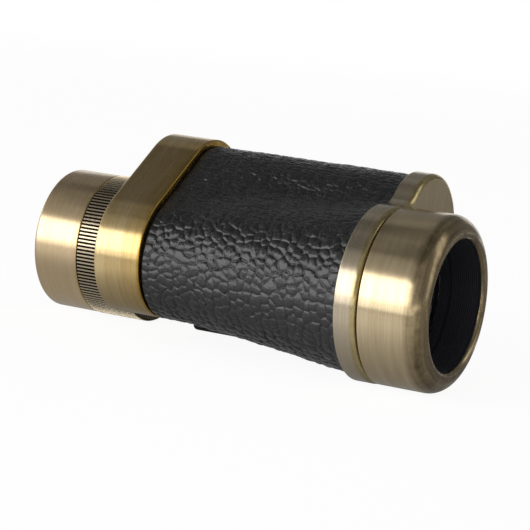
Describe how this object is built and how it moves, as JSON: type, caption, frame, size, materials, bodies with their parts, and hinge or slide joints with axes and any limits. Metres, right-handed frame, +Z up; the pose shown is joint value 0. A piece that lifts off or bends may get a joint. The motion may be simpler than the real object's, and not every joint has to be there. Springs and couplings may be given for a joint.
{
  "type": "prism monocular",
  "caption": "Hand-held prism monocular with a leather-covered body, brass end pieces, a knurled focusing ring and a rounded objective hood.",
  "frame": {"origin": "centre of the underside of the bounding box, on the table that the monocular lies on", "axes": "+X along the optical axes towards the objective, +Z up, the objective barrel on the -Y side"},
  "size_m": [0.1168, 0.0616, 0.0479],
  "materials": {
    "antique_brass": "fine brushed brass with an antique golden-brown lacquer",
    "pale_brass": "finely brushed pale champagne brass",
    "bright_brass": "bright worn brass with a straight knurl",
    "pebbled_leather": "glossy black pebbled leather",
    "black_casting": "matt black paint inside the optics",
    "black_rubber": "matt black",
    "black_plastic": "turned matt black eyecup",
    "spring_steel": "plain steel",
    "optical_glass": "polished and coated optical glass"
  },
  "bodies": {
    "housing": {"prism_housing": "black_casting", "leather_cover": "pebbled_leather", "rear_cap": "antique_brass", "rear_cap_screws": "antique_brass", "front_frame": "antique_brass", "objective_ring": "antique_brass", "objective_seal": "black_rubber", "objective_cell": "black_casting", "objective_crown_lens": "optical_glass", "objective_flint_lens": "optical_glass", "objective_retainer": "black_casting", "rear_prism_shelf": "black_casting", "rear_prism": "optical_glass", "rear_prism_clip": "spring_steel", "front_prism_shelf": "black_casting", "front_prism": "optical_glass", "front_prism_clip": "spring_steel", "clip_screws": "spring_steel", "shelf_screws": "spring_steel", "tripod_pad": "black_rubber", "tripod_bush": "antique_brass", "eyepiece_mount": "antique_brass", "eyepiece_nut": "antique_brass", "focus_retainer": "antique_brass"},
    "focusing_ring": {"focus_ring": "bright_brass"},
    "eyepiece": {"eyepiece_sleeve": "pale_brass", "lens_carriage": "antique_brass", "drive_pins": "spring_steel", "field_lens": "optical_glass", "field_stop": "black_casting", "lens_spacer": "black_casting", "eye_flint_lens": "optical_glass", "eye_crown_lens": "optical_glass", "eyepiece_retainer": "black_casting", "eyecup_insert": "black_plastic"}
  },
  "joints": [
    {"name": "focus_turn", "type": "hinge", "parent": "housing", "child": "focusing_ring", "pos_m": [-0.0389, 0.01332, 0.0175], "axis": [1, 0, 0], "range_deg": [0, 270]},
    {"name": "eyepiece_slide", "type": "slide", "parent": "housing", "child": "eyepiece", "axis": [-1, 0, 0], "range_m": [0, 0.006]}
  ],
  "couplings": [
    {"joint": "focus_turn", "follows": "eyepiece_slide", "rad_per_m": 785.39}
  ]
}
